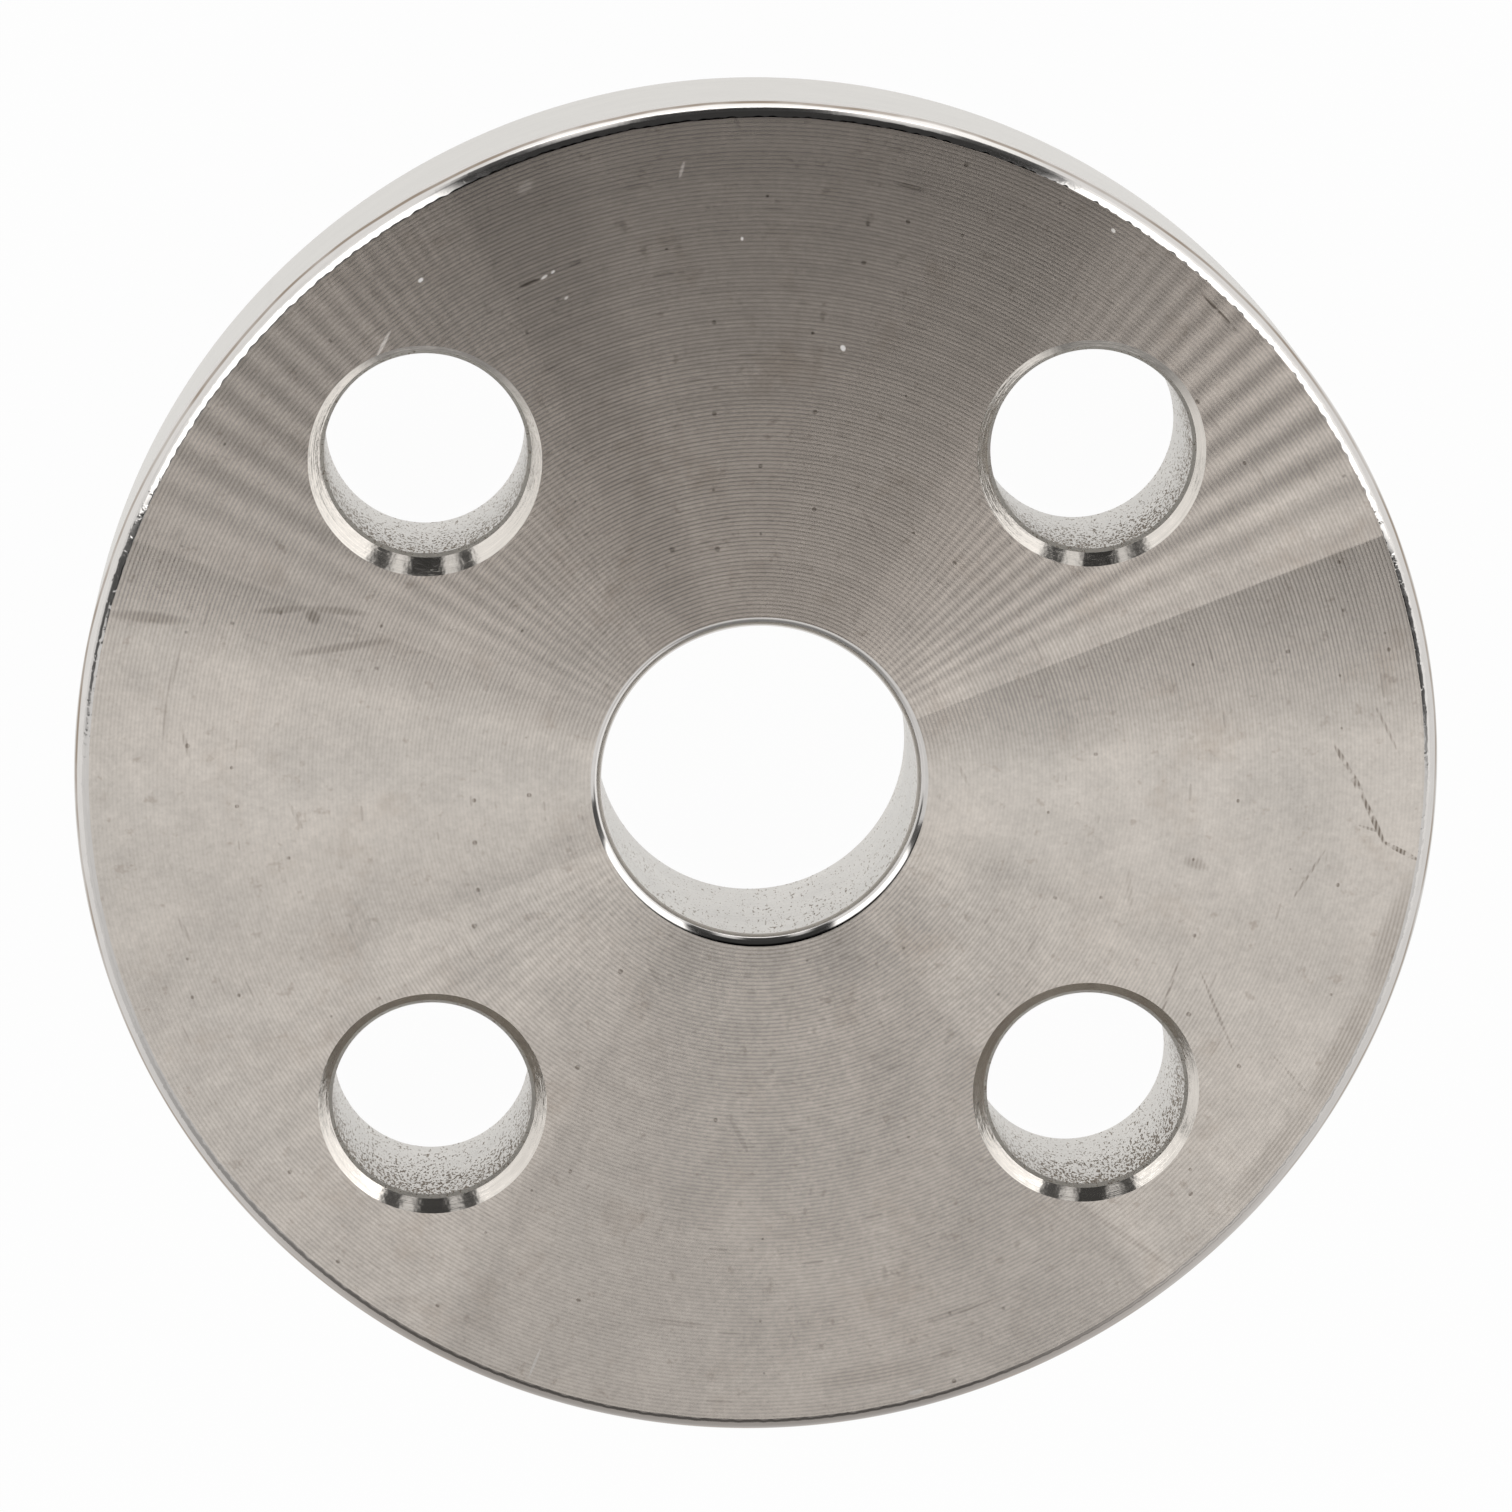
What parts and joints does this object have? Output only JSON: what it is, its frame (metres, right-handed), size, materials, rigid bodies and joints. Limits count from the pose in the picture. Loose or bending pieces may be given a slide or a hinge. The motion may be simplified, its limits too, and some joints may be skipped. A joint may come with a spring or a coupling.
{
  "type": "plate flange",
  "caption": "Flat round turned steel plate flange with a plain through bore and a circle of countersunk bolt holes, for welding on a pipe and bolting to a mating flange.",
  "frame": {"origin": "centre of the back face, on the bore's axis, in the plane that the plate lies on", "axes": "+Z along the bore's axis, out of the front face; the bolt holes straddle X and Y, each at 45 degrees between them"},
  "size_m": [0.095, 0.095, 0.014],
  "materials": {
    "turned_steel": "stainless steel, turned on both faces with fine concentric tool marks, polished edge rounds, as-cut hole walls"
  },
  "bodies": {
    "root": {"flange_plate": "turned_steel"}
  },
  "joints": []
}
